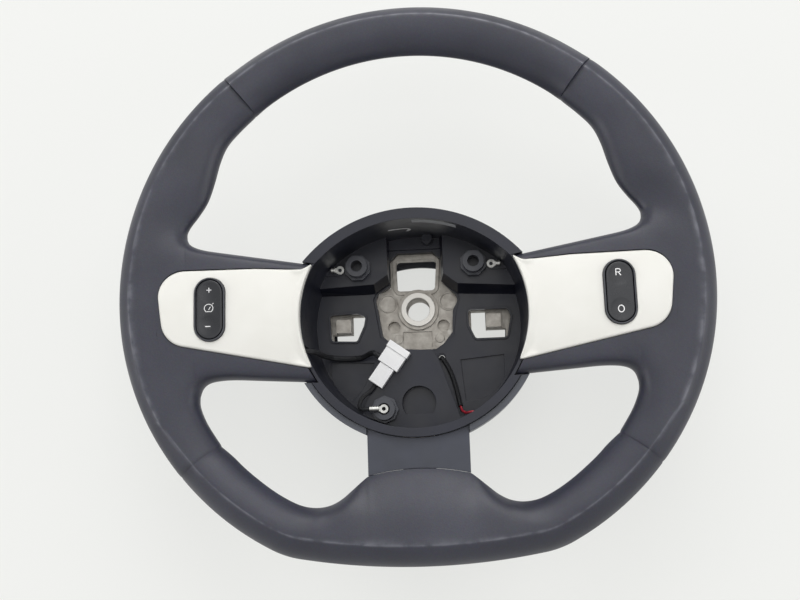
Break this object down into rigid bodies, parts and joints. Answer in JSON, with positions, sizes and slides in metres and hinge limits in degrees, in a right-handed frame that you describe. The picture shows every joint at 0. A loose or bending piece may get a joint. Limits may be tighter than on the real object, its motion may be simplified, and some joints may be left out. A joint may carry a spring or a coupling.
{
  "type": "car steering wheel",
  "caption": "Flat-bottomed leather-covered car steering wheel with side spokes, switch rockers, light trims and an open hub without its airbag.",
  "frame": {"origin": "on the spin axis, on the rear face of the hub boss", "axes": "+Z along the spin axis towards the driver, +Y to the top of the wheel, +X to its right side"},
  "size_m": [0.3698, 0.353, 0.0977],
  "materials": {
    "cast_alloy": "die cast, as cast with a machined seat",
    "moulded_shell": "moulded, fine grain",
    "soft_panel": "moulded, fine grain",
    "leather": "stitched cover, satin from use",
    "painted_trim": "moulded, fine grain, off-white",
    "pod_bezel": "moulded, satin",
    "key_black": "moulded, satin",
    "guide_nylon": "moulded",
    "tinned_steel": "tinned strip",
    "white_nylon": "moulded",
    "black_sleeve": "soft sleeve",
    "red_wire": "insulated wire"
  },
  "bodies": {
    "wheel": {"armature": "cast_alloy", "rear_cover": "moulded_shell", "carrier": "moulded_shell", "rim_top": "leather", "rim_left": "leather", "rim_right": "leather", "rim_bottom": "leather", "lower_panel": "soft_panel", "left_trim": "painted_trim", "right_trim": "painted_trim", "left_switch_housing": "pod_bezel", "right_switch_housing": "pod_bezel", "left_guide_bush": "guide_nylon", "right_guide_bush": "guide_nylon", "lower_guide_bush": "guide_nylon", "left_terminal": "tinned_steel", "right_terminal": "tinned_steel", "lower_terminal": "tinned_steel", "socket_housing": "white_nylon", "plug_housing": "white_nylon", "left_lead": "black_sleeve", "plug_lead": "black_sleeve", "right_lead": "black_sleeve", "red_lead": "red_wire"},
    "left_key": {"left_rocker": "key_black"},
    "right_key": {"right_rocker": "key_black"}
  },
  "joints": [
    {"name": "left_rocker_tilt", "type": "hinge", "parent": "wheel", "child": "left_key", "pos_m": [-0.125, -0.0054, 0.0839], "axis": [1, 0, 0], "range_deg": [-4, 4], "stiffness_Nm_per_rad": 0.12},
    {"name": "right_rocker_tilt", "type": "hinge", "parent": "wheel", "child": "right_key", "pos_m": [0.125, -0.0054, 0.0839], "axis": [1, 0, 0], "range_deg": [-4, 4], "stiffness_Nm_per_rad": 0.12}
  ]
}
